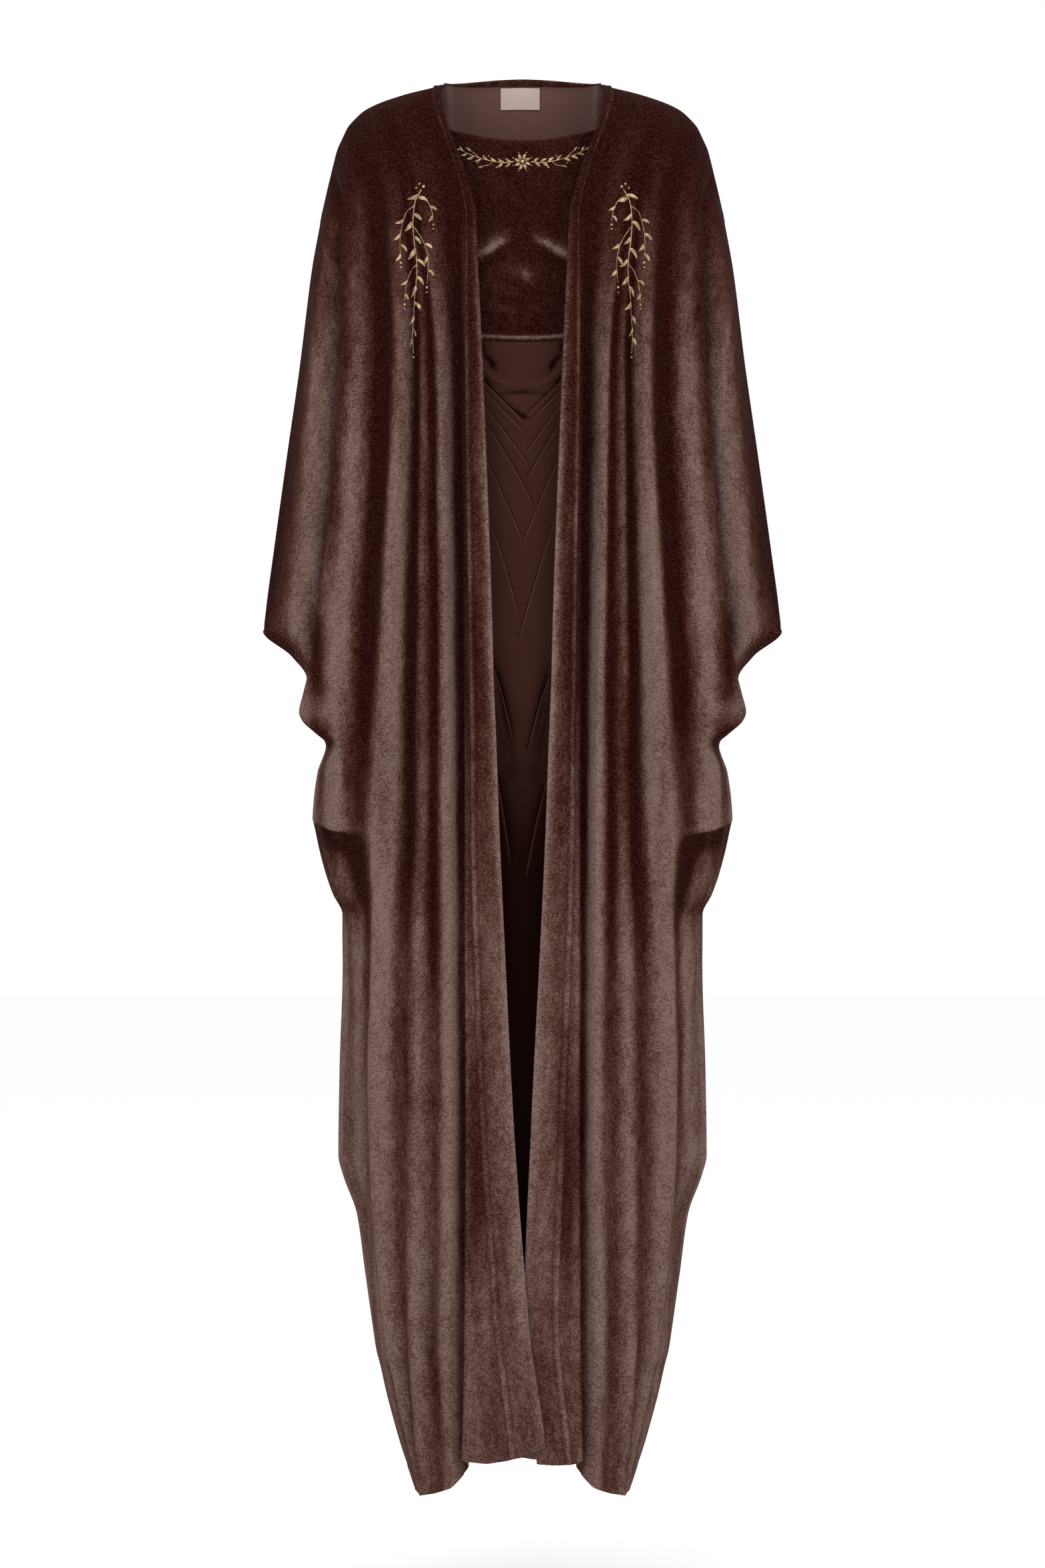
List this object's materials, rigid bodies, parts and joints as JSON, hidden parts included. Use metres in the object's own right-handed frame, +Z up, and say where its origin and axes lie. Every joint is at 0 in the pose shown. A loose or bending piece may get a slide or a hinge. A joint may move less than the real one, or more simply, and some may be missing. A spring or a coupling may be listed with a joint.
{
  "type": "kaftan",
  "caption": "Full-length open-front velvet kaftan with batwing sleeves, banded front edges and an attached inner front of velvet bodice and pleated satin skirt, in its worn shape.",
  "frame": {"origin": "midway between the high points of the shoulders, where the shoulder seams meet the neck, at the height at which the wearer's shoulders hold the garment", "axes": "+Z up, the front faces -Y, +X towards the wearer's left"},
  "size_m": [0.554, 0.2615, 1.5028],
  "materials": {
    "velvet": "dark brown knitted velvet, soft pile with a pale sheen at grazing angles",
    "velvet_band": "dark brown velvet, doubled and twice stitched",
    "satin": "dark reddish brown satin, soft gloss",
    "woven_label": "pale pinkish woven satin, bare"
  },
  "bodies": {
    "root": {"front_right": "velvet", "front_left": "velvet", "back_right": "velvet", "back_left": "velvet", "front_band_right": "velvet_band", "front_band_left": "velvet_band", "back_neck_band": "velvet_band", "inner_bodice": "velvet", "inner_skirt": "satin", "label": "woven_label"}
  },
  "joints": []
}
